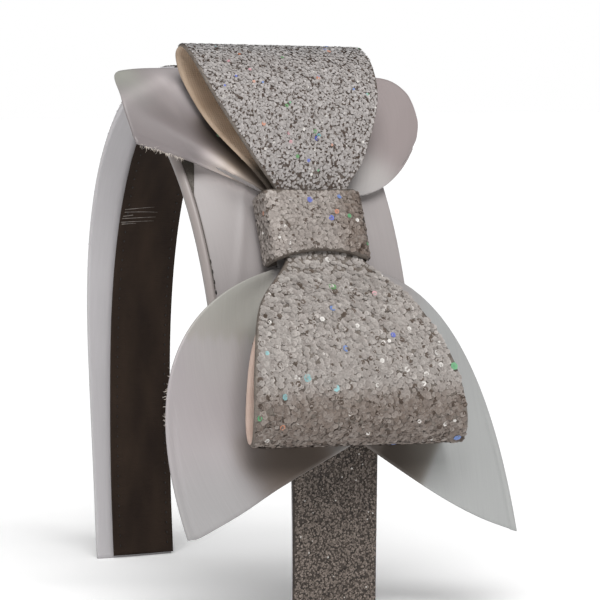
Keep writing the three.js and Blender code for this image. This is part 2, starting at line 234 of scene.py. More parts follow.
# Painted highlights and painted shadows on the satin bow, laid as streaks: both ends as a and b, reach,
# lightness, and 2 for soft edges or more for crisp
SATIN_PAINTED_LIGHT_AND_SHADE = (
    (-33.1, -40.9, -39.7, -27.8, 2.0, 1.35, 2),
    (-37.0, -24.5, -29.5, -22.0, 2.4, 1.6, 2),
    (-27.5, -20.5, -22.0, -15.5, 2.5, 0.6, 2),
    (-24.0, -19.0, -19.0, -15.0, 4.0, 0.44, 2),
    (-17.6, -12.5, -10.5, -8.2, 5.0, 0.24, 2),
    (-18.5, -22.5, -15.0, -18.3, 2.5, 1.95, 2),
    (-13.5, -17.5, -10.0, -13.8, 1.4, 1.9, 2),
    (25.0, -21.0, 48.0, -25.0, 2.5, 0.86, 2),
    (51.3, -21.0, 52.5, -8.0, 5.2, 0.68, 4),
    (47.0, 20.6, 57.0, 14.3, 6.2, 0.43, 8),
    (48.0, 28.0, 53.0, 27.0, 3.2, 1.32, 2),
)
# Painted light on the base ribbon, cancelling the shadows under the lower edges of the two upper lobes, with
# the columns of the satin bow's streaks
BASE_PAINTED_LIGHT = (
    (-18.6, -21.0, -11.0, -10.4, 2.6, 2.4, 2),
    (-12.8, 10.0, -11.8, 20.0, 1.9, 1.5, 2),
)
SHADE_WARMTH = np.array([1.0, 1.14, 1.3])

# Painted sheen on the upper part of the left tail: darker and olive, down to a ragged border
OLIVE_END = 25.0
OLIVE_FADE = 1.4
OLIVE_LEFT_OF = -12.0
OLIVE_WAVES = ((1.9, 0.7), (4.7, 0.4))
OLIVE_SHEEN_TONE = np.array([0.92, 0.925, 0.87, 1.0])

# Glitter bow and knot
CANVAS_THICKNESS = 1.2
WAIST_SHIFT = -1.2
LOOP_STATIONS = 420
LOOP_COLUMNS = 60
LOOP_TOP_SHADE = 0.22
LOOP_TOP_REACH = (33, 45)
LOOP_FRONT_LEVEL = (8, 12)
LOOP_BACK_COVER = 0.4
KNOT_HALF_WIDTH = 12.2
KNOT_BACK = 1.6
KNOT_FRONT = 9.9
KNOT_SQUARENESS = 8
KNOT_HALF_LENGTH = 7.9
KNOT_BOTTOM_ARC = 2.2
KNOT_CROWN = 0.6
KNOT_STATIONS = 200
KNOT_COLUMNS = 40
KNOT_SHADE = 0.14
KNOT_SHADE_REACH = (13.5, 19)
KNOT_SIDE_SHADE = 0.95
KNOT_SIDE_REACH = (0.25, 0.65)

# Once round the glitter strip, from the knot out along the front of the upper loop, back behind it,
# out along the back of the lower loop and home along its front. Columns: a, c, half width left and right
LOOP_PROFILE = np.array([
    (0.0, 7.5, 9.2, 7.2),
    (-8.0, 7.8, 9.2, 7.4),
    (-16.0, 12.0, 15.2, 12.4),
    (-29.0, 17.0, 22.8, 17.4),
    (-39.0, 17.0, 25.4, 19.2),
    (-44.5, 13.2, 25.4, 19.5),
    (-43.5, 8.6, 25.0, 19.8),
    (-37.0, 6.6, 24.0, 19.6),
    (-26.0, 6.4, 20.6, 17.6),
    (-14.0, 6.2, 12.8, 11.8),
    (-7.0, 5.8, 9.2, 7.6),
    (0.0, 5.7, 8.8, 7.2),
    (7.0, 5.8, 8.6, 8.2),
    (15.0, 6.3, 14.0, 15.2),
    (29.0, 6.6, 20.6, 22.2),
    (42.0, 6.8, 23.6, 25.4),
    (49.0, 8.8, 25.0, 26.8),
    (50.8, 13.0, 26.0, 27.0),
    (45.5, 17.5, 26.8, 26.0),
    (34.0, 18.0, 25.4, 23.6),
    (20.0, 13.8, 20.4, 18.0),
    (8.0, 7.8, 9.6, 9.0),
])

# Glitter flakes
FLAKE_LIFT = (0.05, 0.26)
FLAKE_DISH = 0.14
FLAKE_SPREAD = (0.62, 1.3)
FLAKE_EDGE = 0.2
FLAKE_MIDDLE_SHADE = 0.76
FLAKE_TILT = 0.1
FLAKE_PALENESS = (2.4, 1.6)
FLECK_GROWTH = 1.4
FLECK_STRENGTH = 0.65
FLECK_TONES = np.array([
    tone(96, 140, 215),
    tone(60, 90, 200),
    tone(70, 170, 110),
    tone(40, 140, 50),
    tone(120, 185, 190),
    tone(205, 130, 95),
    tone(215, 150, 160),
])
GLINT_SHARE = 0.006
GLINT_TONE = tone(208, 204, 199)
# Painted shade on the flakes: its tone at full strength, and how far it varies from flake to flake
PAINTED_SHADE_TONE = np.array([0.6, 0.54, 0.5])
PAINTED_SHADE_SPREAD = (0.45, 1.5)

# Flakes of each piece: size, number to a square millimetre, sides, shares of coloured flecks and of dark
# specks, seed, the darkest and the palest tone, and the tone of the specks
FLAKE_LOOKS = {
    # The band cover's flakes are painted darker as shade, like its shaded ground
    "cover_flakes": (0.5, 6.2, 4, 0.0, 0.0, 11,
                     tone(58, 49, 42), tone(142, 130, 121), tone(40, 33, 28)),
    "upper_flakes": (0.62, 8.8, 6, 0.0025, 0.13, 23,
                     tone(138, 132, 128), tone(178, 173, 171), tone(74, 61, 53)),
    "lower_flakes": (1.2, 3.1, 6, 0.0025, 0.06, 29,
                     tone(134, 126, 121), tone(164, 158, 153), tone(88, 76, 67)),
    "knot_flakes": (0.85, 5.4, 6, 0.0025, 0.05, 37,
                    tone(128, 119, 113), tone(163, 155, 149), tone(84, 71, 62)),
}

# Flakes of the two loops: way down the bow, how much shade is painted on them at its end (below none paints
# them paler), and where that starts and ends
LOOP_ENDS = {
    "upper_flakes": (-1, -0.35, (39, 44)),
    "lower_flakes": (1, 1.0, (39, 45.5)),
}

# Stitches as length, width and height
STITCH_STATIONS = 7
STITCH_SIDES = 8
STITCH_TAPER = 0.96
LINING_STITCH = (0.6, 0.4, 0.3)
LINING_STITCH_STEP = 2.6
LINING_STITCH_INSET = 1.8
HEM_STITCH = (1.1, 0.4, 0.4)
HEM_STITCH_OFFSET = 0.25
HEM_STITCHES_AT = (4.6, 7.0, 9.4, 11.8)

# Pulled threads of the lining, by their height on the plain leg, and frayed edges of the satin, each with
# where it starts and ends between knot and cut edge, number and usual length of its threads, and seed
THREAD_POINTS = 5
THREAD_TAPER = 0.7
SNAG_HEIGHTS = (92.0, 91.3, 90.2, 89.6, 88.6, 88.1)
SNAG_INSET = (0.1, 1.0)
SNAG_LIFT = 0.08
SNAG_WAY = (1.0, 0, 0.05)
SNAG_STRAY = 0.03
SNAG_LENGTH = (4, 10)
SNAG_WIDTH = 0.26
SNAG_CURL = 0.02
SNAG_SEED = 5
SNAG_CURL_SEED = 6
FRAYS = {
    "upper_fray": (0.66, 0.99, 150, 0.9, 3),
    "lower_fray": (0.5, 0.72, 26, 0.8, 4),
}
FRAY_SPREAD = (0.3, 1.5)
FRAY_STRAY = 0.35
FRAY_ROOT = 0.2
FRAY_ROOT_COLUMN = 3
FRAY_WIDTH = 0.16
FRAY_CURL = 0.4


# Shape of the arch

def half_arch():
    """Columns along, out, up, normal out and normal up of half the arch, from the apex to the tip."""
    turn = np.linspace(math.pi / 2, 0, ARCH_SAMPLES + 1)
    across = np.maximum(0, np.cos(turn)) ** (2 / ARCH_POWER)
    upward = np.sin(turn) ** (2 / ARCH_POWER)
    slope_out = across ** (ARCH_POWER - 1) / ARCH_HALF_SPAN
    slope_up = upward ** (ARCH_POWER - 1) / ARCH_RISE
    size = np.hypot(slope_out, slope_up)
    part = np.linspace(0, 1, ARCH_SAMPLES + 1)[1:]
    out = np.concatenate([ARCH_HALF_SPAN * across, ARCH_HALF_SPAN - LEG_COME_IN * part ** 2])
    up = np.concatenate([LEG_DROP + ARCH_RISE * upward, LEG_DROP * (1 - part)])
    normal_out = np.concatenate([slope_out / size, np.ones(ARCH_SAMPLES)])
    normal_up = np.concatenate([slope_up / size, np.zeros(ARCH_SAMPLES)])
    along = np.concatenate([[0], np.cumsum(np.hypot(np.diff(out), np.diff(up)))])
    return along, out, up, normal_out, normal_up


ALONG, OUT, UP, NORMAL_OUT, NORMAL_UP = half_arch()
HALF_LENGTH = ALONG[-1]

# Place of the arch in the part's frame: the middle of the core, on the floor
core_low, core_high = (np.array(corner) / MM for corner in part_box("band_core"))
ARCH_PLACE = np.array([(core_low[0] + core_high[0]) / 2, (core_low[1] + core_high[1]) / 2, core_low[2]])


def on_arch(length, x, height):
    """Points at a length from the apex, positive towards the bow, and a height above the core's middle."""
    length, x, height = np.broadcast_arrays(*map(np.asarray, (length, x, height)))
    reach = np.minimum(np.abs(length), HALF_LENGTH)
    side = np.where(length < 0, 1.0, -1.0)
    y = side * (np.interp(reach, ALONG, OUT) + np.interp(reach, ALONG, NORMAL_OUT) * height)
    z = np.interp(reach, ALONG, UP) + np.interp(reach, ALONG, NORMAL_UP) * height
    return np.stack([x, y, z], axis=-1) + ARCH_PLACE


CORE_HALF = CORE_THICKNESS / 2
COVER_LOW = CORE_HALF + LAYER_GAP
COVER_HIGH = COVER_LOW + SKIN_THICKNESS
LINING_HIGH = -CORE_HALF - LAYER_GAP
LINING_LOW = LINING_HIGH - SKIN_THICKNESS
SKIN_END = HALF_LENGTH - SKIN_END_HEIGHT


# Frame of the bow

def turned(vector, axis, angle):
    return vector * math.cos(angle) + np.cross(axis, vector) * math.sin(angle)


BOW_LENGTH = ALONG[np.argmax(UP <= BOW_HEIGHT)]
BOW_CENTRE = on_arch(BOW_LENGTH, BOW_SHIFT_X, COVER_HIGH)
BOW_OUT = on_arch(BOW_LENGTH, 0.0, 1.0) - on_arch(BOW_LENGTH, 0.0, 0.0)
BOW_DOWN = turned(np.array([0, -BOW_OUT[2], BOW_OUT[1]]), BOW_OUT, BOW_LEAN)
BOW_RIGHT = turned(np.array([1.0, 0, 0]), BOW_OUT, BOW_LEAN)


def bow_point(a, b, c):
    """Points a down the bow, b to its right and c out of the band, bent back towards the band."""
    a, b, c = np.broadcast_arrays(*map(np.asarray, (a, b, c)))
    reach = np.maximum(0, np.abs(a) - BEND_START)
    slope = np.where(a < 0, BEND_SLOPE_UP, BEND_SLOPE_DOWN)
    level = c - slope * reach ** 2 / (reach + BEND_EASE)
    sideways = b + BOW_SKEW * a
    return BOW_CENTRE + a[..., None] * BOW_DOWN + sideways[..., None] * BOW_RIGHT + level[..., None] * BOW_OUT


# Small helpers for shapes

def smoothstep(value, low, high):
    t = np.clip((value - low) / (high - low), 0, 1)
    return t * t * (3 - 2 * t)


def unit(vectors):
    shortest = 1e-9
    return vectors / np.maximum(np.linalg.norm(vectors, axis=-1, keepdims=True), shortest)


def even_turns(count):
    """Angles once round, in even steps."""
    return 2 * math.pi * np.arange(count) / count


def hermite(start, end, leaving, arriving, t):
    cubic = 2 * start - 2 * end + leaving + arriving
    square = -3 * start + 3 * end - 2 * leaving - arriving
    return ((cubic * t + square) * t + leaving) * t + start


def half_width(length, far, near):
    """Half a width that changes from the far leg to the near one, and grows towards the top of the arch."""
    growth = TOP_GROWTH * (1 - smoothstep(np.abs(length), GROWTH_TO, GROWTH_FROM))
    return (far + (near - far) * smoothstep(length, -HALF_LENGTH / 3, HALF_LENGTH / 3) + growth) / 2


def core_right(length):
    return half_width(length, CORE_WIDTH_FAR, CORE_WIDTH_NEAR)


def core_left(length):
    return -core_right(length)


def lining_left(length):
    return core_right(length) - LINING_WIDTH


def grid_normals(grid, towards):
    """Unit normals of a grid of points, on the side that the points of towards lie."""
    along = np.gradient(grid, axis=0)
    across = np.gradient(grid, axis=1)
    normals = unit(np.cross(across, along))
    facing = np.sign(np.sum(normals * (towards - grid), axis=-1, keepdims=True))
    return normals * facing


def make_object(name, corners, faces, materials, face_materials=None, cloth_place=None):
    """Object of a mesh in millimetres, smooth shaded, with a cloth map in millimetres where it has one."""
    mesh = bpy.data.meshes.new(name)
    mesh.from_pydata((corners * MM).tolist(), [], faces)
    for material in materials:
        mesh.materials.append(material)
    if face_materials is not None:
        mesh.polygons.foreach_set("material_index", face_materials)
    if cloth_place is not None:
        layer = mesh.uv_layers.new(name="cloth")
        layer.data.foreach_set("uv", np.asarray(cloth_place, dtype=np.float32).ravel())
    mesh.validate()
    mesh.shade_smooth()
    made = bpy.data.objects.new(name, mesh)
    bpy.context.scene.collection.objects.link(made)
    return made


def finish_piece(piece, slot, *nodes):
    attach(piece, "root")
    if nodes:
        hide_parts(*nodes)
    return piece


def closed(grid, axis=0):
    """A grid with its first row or column again after its last."""
    return np.concatenate([grid, grid.take([0], axis)], axis)


def grid_quads(grid):
    """The four corners of each cell of a grid."""
    return np.stack([grid[:-1, :-1], grid[:-1, 1:], grid[1:, 1:], grid[1:, :-1]], axis=2)


def ring_faces(rings, points):
    """Faces between rings of points, and one that closes each end."""
    number = np.arange(rings * points).reshape(rings, points)
    quads = grid_quads(closed(number, 1)).reshape(-1, 4)
    return [*quads.tolist(), number[0, ::-1].tolist(), number[-1].tolist()]


# First and last row or column of a grid, each with its neighbour
EDGES = ((0, 1), (-1, -2))


def padded_grid(front, back, loop):
    """A grid with a rounded rim of points set half a thickness outside its edges, as cloth edges are."""
    middle = (front + back) / 2
    thickness = np.linalg.norm(front - back, axis=-1, keepdims=True)
    rows, columns = front.shape[:2]
    margin = 0 if loop else 1
    padded = np.zeros((rows + 2 * margin, columns + 2, 3))
    inside = slice(margin, margin + rows)
    padded[inside, 1:-1] = front
    for edge, neighbour in EDGES:
        outward = unit(middle[:, edge] - middle[:, neighbour])
        padded[inside, edge] = middle[:, edge] + outward * thickness[:, edge] / 2
    if not loop:
        for edge, neighbour in EDGES:
            outward = unit(middle[edge] - middle[neighbour])
            padded[edge, 1:-1] = middle[edge] + outward * thickness[edge] / 2
            for corner, beside in EDGES:
                padded[edge, corner] = (padded[edge, beside] + padded[neighbour, corner]) / 2
    return padded


# Kinds of a sheet's faces, in the order of its materials
FRONT, BACK, RIM, KINDS = range(4)


def cloth_sheet(name, front, back, materials, loop=False, other_rows=None):
    """A thin sheet with a rounded rim. A loop joins its last row to its first.

    materials holds those of the front, the back and the rim, and then those of the other rows."""
    outer = padded_grid(front, back, loop)
    inner = outer.copy()
    rows, columns = outer.shape[:2]
    margin = 0 if loop else 1
    inner[margin:rows - margin, 1:-1] = back
    number = np.arange(rows * columns).reshape(rows, columns)
    hind = number + rows * columns
    hind[:, [0, -1]] = number[:, [0, -1]]
    if not loop:
        hind[[0, -1]] = number[[0, -1]]
    across = np.cumsum(np.linalg.norm(np.diff(outer, axis=1, prepend=outer[:, :1]), axis=-1), axis=1)
    across -= across[:, -1:] / 2
    along = np.cumsum(np.linalg.norm(np.diff(outer, axis=0, prepend=outer[:1]), axis=-1), axis=0)
    along = np.broadcast_to(along.mean(axis=1, keepdims=True), (rows, columns))
    if loop:
        number, hind, across = map(closed, (number, hind, across))
        along = np.concatenate([along, 2 * along[-1:] - along[-2:-1]])

    front_quads = grid_quads(number).reshape(-1, 4)
    back_quads = grid_quads(hind).reshape(-1, 4)[:, ::-1]
    faces = np.concatenate([front_quads, back_quads])
    place_quads = grid_quads(np.stack([across, along], axis=-1)).reshape(-1, 4, 2)
    cloth_place = np.concatenate([place_quads, place_quads[:, ::-1]])
    corners = np.concatenate([outer.reshape(-1, 3), inner.reshape(-1, 3)])
    used, compact = np.unique(faces, return_inverse=True)
    faces = compact.reshape(-1, 4)
    corners = corners[used]
    first, second, third = corners[faces[0, :3]]
    if np.cross(second - first, third - first) @ (front[0, 0] - back[0, 0]) < 0:
        faces = faces[:, ::-1]
        cloth_place = cloth_place[:, ::-1]
    kinds = np.zeros((2, len(number) - 1, columns - 1), dtype=int)
    kinds[BACK] = BACK
    kinds[FRONT, :, [0, -1]] = RIM
    if not loop:
        kinds[FRONT, [0, -1]] = RIM
    if other_rows is not None:
        kinds[:, other_rows] += KINDS
    return make_object(name, corners, faces.tolist(), materials, kinds.ravel(), cloth_place)


def swept_strip(name, material, end, left, low, high, rounding):
    """A strip with rounded edges carried along the arch, up to the core's right edge.

    left is a function of the length."""
    length = np.linspace(-end, end, BAND_STATIONS)[:, None]
    turn = even_turns(RING_POINTS)
    half_height = (high - low) / 2
    power = 2 / rounding
    x_part = np.sign(np.cos(turn)) * np.abs(np.cos(turn)) ** power
    height_part = np.sign(np.sin(turn)) * np.abs(np.sin(turn)) ** power
    middle = (left(length) + core_right(length)) / 2
    half = (core_right(length) - left(length)) / 2
    inset = half - half_height + half_height * np.abs(x_part)
    x = middle + np.sign(x_part) * inset * np.minimum(1, np.abs(x_part) * RING_FULLNESS)
    rings = on_arch(length, x, (low + high) / 2 + half_height * height_part)
    place = np.stack(np.broadcast_arrays(x, length), axis=-1)
    side_place = grid_quads(closed(place, 1))
    cloth_place = np.concatenate([side_place.reshape(-1, 2), place[0, ::-1], place[-1]])
    faces = ring_faces(BAND_STATIONS, RING_POINTS)
    return make_object(name, rings.reshape(-1, 3), faces, [material], None, cloth_place)


# Materials

def set_inputs(material, node, inputs):
    """Inputs of a node, each set to a value or linked to another node's output."""
    for socket, value in inputs.items():
        if isinstance(value, bpy.types.NodeSocket):
            material.node_tree.links.new(value, node.inputs[socket])
        else:
            node.inputs[socket].default_value = value


def make_material(name, look, *tones):
    """A material whose surface has the inputs that its look gives."""
    material = bpy.data.materials.new(name)
    material.use_nodes = True
    set_inputs(material, material.node_tree.nodes["Principled BSDF"], look(material, *tones))
    return material


def add_node(material, kind, inputs, **settings):
    node = material.node_tree.nodes.new(kind)
    for key, value in settings.items():
        setattr(node, key, value)
    set_inputs(material, node, inputs)
    return node


def cloth_coordinates(material, across=1.0, along=1.0):
    """Cloth map in millimetres, stretched across and along."""
    place = add_node(material, "ShaderNodeUVMap", {}, uv_map="cloth").outputs["UV"]
    mapping = add_node(material, "ShaderNodeMapping", {"Vector": place, "Scale": (across, along, 1)})
    return mapping.outputs["Vector"]


def solid_coordinates(material):
    return add_node(material, "ShaderNodeTexCoord", {}).outputs["Object"]


def add_noise(material, place, scale, detail):
    noise = add_node(material, "ShaderNodeTexNoise", {"Vector": place, "Scale": scale, "Detail": detail})
    return noise.outputs["Fac"]


def add_wave(material, place, direction, scale, distortion, detail):
    inputs = {"Vector": place, "Scale": scale, "Distortion": distortion, "Detail": detail}
    wave = add_node(material, "ShaderNodeTexWave", inputs, wave_type="BANDS", bands_direction=direction)
    return wave.outputs["Fac"]


def add_math(material, operation, first, second):
    return add_node(material, "ShaderNodeMath", {0: first, 1: second}, operation=operation).outputs["Value"]


def colour_ramp(material, factor, *stops):
    ramp = add_node(material, "ShaderNodeValToRGB", {"Fac": factor})
    for element, (position, colour) in zip(ramp.color_ramp.elements, stops):
        element.position = position
        element.color = colour
    return ramp.outputs["Color"]


def value_range(material, factor, low, high):
    spread = add_node(material, "ShaderNodeMapRange", {"Value": factor, "To Min": low, "To Max": high})
    return spread.outputs["Result"]


def painted_over(material, colour):
    """A colour multiplied by the tone, painted light and painted shade on the mesh."""
    painted = add_node(material, "ShaderNodeVertexColor", {}, layer_name="tone_with_painted_light_and_shade").outputs["Color"]
    toned = add_node(material, "ShaderNodeMix", {"Factor": 1.0, "A": painted, "B": colour},
                     data_type="RGBA", blend_type="MULTIPLY")
    return toned.outputs["Result"]


def bumps(material, *heights):
    """Normal of bumps chained one on another. Each has an output, a strength and a depth in metres."""
    inputs = {}
    for height, strength, depth in heights:
        inputs.update({"Height": height, "Strength": strength, "Distance": depth})
        inputs["Normal"] = add_node(material, "ShaderNodeBump", inputs).outputs["Normal"]
    return inputs["Normal"]


def satin_look(material, dark, light):
    """Close satin weave with long warp streaks and a soft sheen, over the tone, painted light and painted
    shade on the mesh.
    """
    streak = add_noise(material, cloth_coordinates(material, across=2.6, along=0.09), scale=1.0, detail=3.0)
    cloud = add_noise(material, cloth_coordinates(material, across=0.05, along=0.04), scale=1.0, detail=2.0)
    weave = add_wave(material, cloth_coordinates(material, across=2.4, along=1.5), "DIAGONAL",
                     scale=1.0, distortion=0.6, detail=1.0)
    mixed = add_math(material, "MULTIPLY", add_math(material, "ADD", streak, cloud), 0.5)
    woven = colour_ramp(material, mixed, (0.34, dark), (0.66, light))
    return {
        "Base Color": painted_over(material, woven),
        "Roughness": value_range(material, streak, 0.34, 0.5),
        "Sheen Weight": 0.15,
        "Sheen Roughness": 0.4,
        "Specular IOR Level": 0.45,
        "Normal": bumps(material, (streak, 0.05, 0.00005), (weave, 0.08, 0.00004)),
    }


def ground_look(material, dark, light):
    """Glue and fine dust of glitter between the flakes."""
    place = solid_coordinates(material)
    dust = add_node(material, "ShaderNodeTexVoronoi", {"Vector": place, "Scale": 2600.0}).outputs["Distance"]
    cloud = add_noise(material, place, scale=700.0, detail=3.0)
    return {
        "Base Color": colour_ramp(material, cloud, (0.35, dark), (0.7, light)),
        "Roughness": value_range(material, dust, 0.35, 0.7),
        "Metallic": 0.2,
        "Normal": bumps(material, (dust, 0.6, 0.0002)),
    }


def flake_look(material):
    """Thin metal-coated film, coloured flake by flake, with a little haze on each."""
    colour = add_node(material, "ShaderNodeVertexColor", {}, layer_name="flake_colour").outputs["Color"]
    haze = add_noise(material, solid_coordinates(material), scale=1500.0, detail=2.0)
    return {
        "Base Color": colour,
        "Roughness": value_range(material, haze, 0.42, 0.68),
        "Metallic": 0.15,
        "Specular IOR Level": 0.4,
    }


def canvas_look(material, dark, light):
    """Plain woven cotton back of the glitter canvas, over the shade painted on the mesh."""
    place = cloth_coordinates(material)
    warp, weft = (add_wave(material, place, way, scale=0.55, distortion=1.2, detail=2.0) for way in "XY")
    cross = add_math(material, "MULTIPLY", warp, weft)
    cloud = add_noise(material, cloth_coordinates(material, across=0.12, along=0.12), scale=1.0, detail=4.0)
    woven = colour_ramp(material, cloud, (0.3, dark), (0.7, light))
    return {
        "Base Color": painted_over(material, woven),
        "Roughness": value_range(material, cross, 0.75, 0.95),
        "Normal": bumps(material, (cross, 0.35, 0.00015)),
    }


def lining_look(material, dark, light):
    """Dull dark brown cloth with a fine rib and worn places."""
    rib = add_wave(material, cloth_coordinates(material), "Y", scale=0.6, distortion=0.8, detail=2.0)
    wear = add_noise(material, cloth_coordinates(material, across=0.14, along=0.05), scale=1.0, detail=5.0)
    return {
        "Base Color": colour_ramp(material, wear, (0.32, dark), (0.72, light)),
        "Roughness": value_range(material, wear, 0.75, 0.95),
        "Specular IOR Level": 0.2,
        "Normal": bumps(material, (rib, 0.2, 0.0001), (wear, 0.3, 0.0002)),
    }


def thread_look(material, dark, light):
    twist = add_noise(material, solid_coordinates(material), scale=900.0, detail=2.0)
    return {
        "Base Color": colour_ramp(material, twist, (0.3, dark), (0.7, light)),
        "Roughness": value_range(material, twist, 0.5, 0.8),
    }


def floor_look(material, dark, light):
    grain = add_noise(material, solid_coordinates(material), scale=40.0, detail=3.0)
    return {
        "Base Color": colour_ramp(material, grain, (0.3, dark), (0.7, light)),
        "Roughness": 0.8,
        "Emission Color": (1, 1, 1, 1),
        "Emission Strength": FLOOR_GLOW,
    }


satin = make_material("satin", satin_look, (0.92, 0.92, 0.92, 1), (1.0, 1.0, 1.0, 1))
glitter_ground = make_material("glitter_ground", ground_look, tone(70, 60, 54), tone(104, 93, 86))
pale_ground = make_material("pale_ground", ground_look, tone(94, 85, 78), tone(120, 112, 104))
olive_ground = make_material("olive_ground", ground_look, tone(58, 53, 46), tone(78, 72, 65))
shaded_ground = make_material("shaded_ground", ground_look, tone(40, 33, 28), tone(66, 57, 50))
flake_film = make_material("flakes", flake_look)
canvas = make_material("canvas", canvas_look, tone(175, 152, 130), tone(196, 174, 152))
# A paler, pinker canvas for the inside of the lower loop; its paleness is painted light
pale_canvas = make_material("pale_canvas", canvas_look, tone(184, 160, 147), tone(196, 175, 163))
lining_cloth = make_material("lining", lining_look, tone(31, 21, 15), tone(49, 38, 30))
seam_thread = make_material("seam_thread", thread_look, tone(12, 8, 6), tone(22, 16, 12))
snag_thread = make_material("snag_thread", thread_look, tone(78, 70, 64), tone(128, 120, 114))
ribbon_thread = make_material("ribbon_thread", thread_look, tone(176, 164, 152), tone(206, 198, 190))


# Tone of the cloth, with painted light and shade

def from_knot(piece):
    """Corners of a piece's mesh in millimetres, as seen from the middle of the bow."""
    corners = np.empty(len(piece.data.vertices) * 3, dtype=np.float32)
    piece.data.vertices.foreach_get("co", corners)
    return corners.reshape(-1, 3) / MM - BOW_CENTRE


def paint_corners(piece, layer_name, colours):
    layer = piece.data.color_attributes.new(layer_name, "FLOAT_COLOR", "POINT")
    layer.data.foreach_set("color", colours.astype(np.float32).ravel())


def paint_tone(piece, colours, front=None):
    """Tone of the cloth with its painted light and shade, one colour for each corner of the mesh or one for
    all.

    Where the grid of a front is given, the corners behind it have the plain tone of the back."""
    tones = np.broadcast_to(colours, (len(piece.data.vertices), 4)).copy()
    if front is not None:
        rows, columns = front.shape[:2]
        tones[(rows + 2) * (columns + 2):] = SATIN_BACK_TONE
    paint_corners(piece, "tone_with_painted_light_and_shade", tones)


def paint_light_and_shade(tones, a, b, light_and_shade_lines):
    """Painted highlights and painted shade: tones made lighter or darker near straight lines between two
    places.
    """
    for from_a, from_b, to_a, to_b, reach, lightness, edge in light_and_shade_lines:
        way_a, way_b = to_a - from_a, to_b - from_b
        part = np.clip(((a - from_a) * way_a + (b - from_b) * way_b) / (way_a ** 2 + way_b ** 2), 0, 1)
        away = np.hypot(a - from_a - part * way_a, b - from_b - part * way_b)
        strength = np.exp(-(away / reach) ** edge)
        tones[:, :3] *= lightness ** (strength * (SHADE_WARMTH if lightness < 1 else 1))
    return tones


def base_tones(base):
    """The base ribbon is painted darker on its left and paler on its right, evening out the light across it,
    and its hem has a tone of its own.
    """
    place = from_knot(base)
    a = (place @ BOW_DOWN)[:, None]
    across = place[:, :1] - a * math.tan(BASE_LEAN)
    right = smoothstep(across, BASE_LEFT / 2, BASE_RIGHT / 2)
    hem = 1 - smoothstep(across, HEM_END - HEM_FADE, HEM_END + HEM_FADE)
    ribbon = BASE_TONE_LEFT * (1 - right) + BASE_TONE_RIGHT * right
    return paint_light_and_shade(ribbon * (1 - hem) + HEM_TONE * hem, a, across, BASE_PAINTED_LIGHT)


def ribbon_tones(ribbon):
    """Tone of each corner of the satin bow, mixed from the patches by how near they are, with painted sheen,
    painted shade and painted highlights laid over it.
    """
    place = from_knot(ribbon)
    a = (place @ BOW_DOWN)[:, None]
    b = (place @ BOW_RIGHT)[:, None] - BOW_SKEW * a
    patch_a, patch_b, reach, colours = (np.array(column) for column in zip(*SATIN_PATCHES))
    weight = np.exp(-((a - patch_a) ** 2 + (b - patch_b) ** 2) / reach ** 2) + PATCH_FLOOR
    tones = (weight / weight.sum(axis=1, keepdims=True)) @ colours
    # Painted sheen: the top of the left tail darkened towards olive, down to a ragged border
    border = OLIVE_END + sum(size * np.sin(rate * b) for rate, size in OLIVE_WAVES)
    olive_sheen = (1 - smoothstep(a, border - OLIVE_FADE, border + OLIVE_FADE)) * (a > 0) * (b < OLIVE_LEFT_OF)
    return paint_light_and_shade(tones * OLIVE_SHEEN_TONE ** olive_sheen, a, b, SATIN_PAINTED_LIGHT_AND_SHADE)


def canvas_painted_shade(strip):
    """Painted shade inside the loops: darker towards the knot, and inside the upper loop also towards its
    end.
    """
    a = from_knot(strip) @ BOW_DOWN
    level = KNOT_SHADE + (1 - KNOT_SHADE) * smoothstep(np.abs(a), *KNOT_SHADE_REACH)
    level *= 1 - LOOP_TOP_SHADE * smoothstep(-a, *LOOP_TOP_REACH)
    return np.stack([level, level, level, np.ones(len(level))], axis=1)


# Glitter

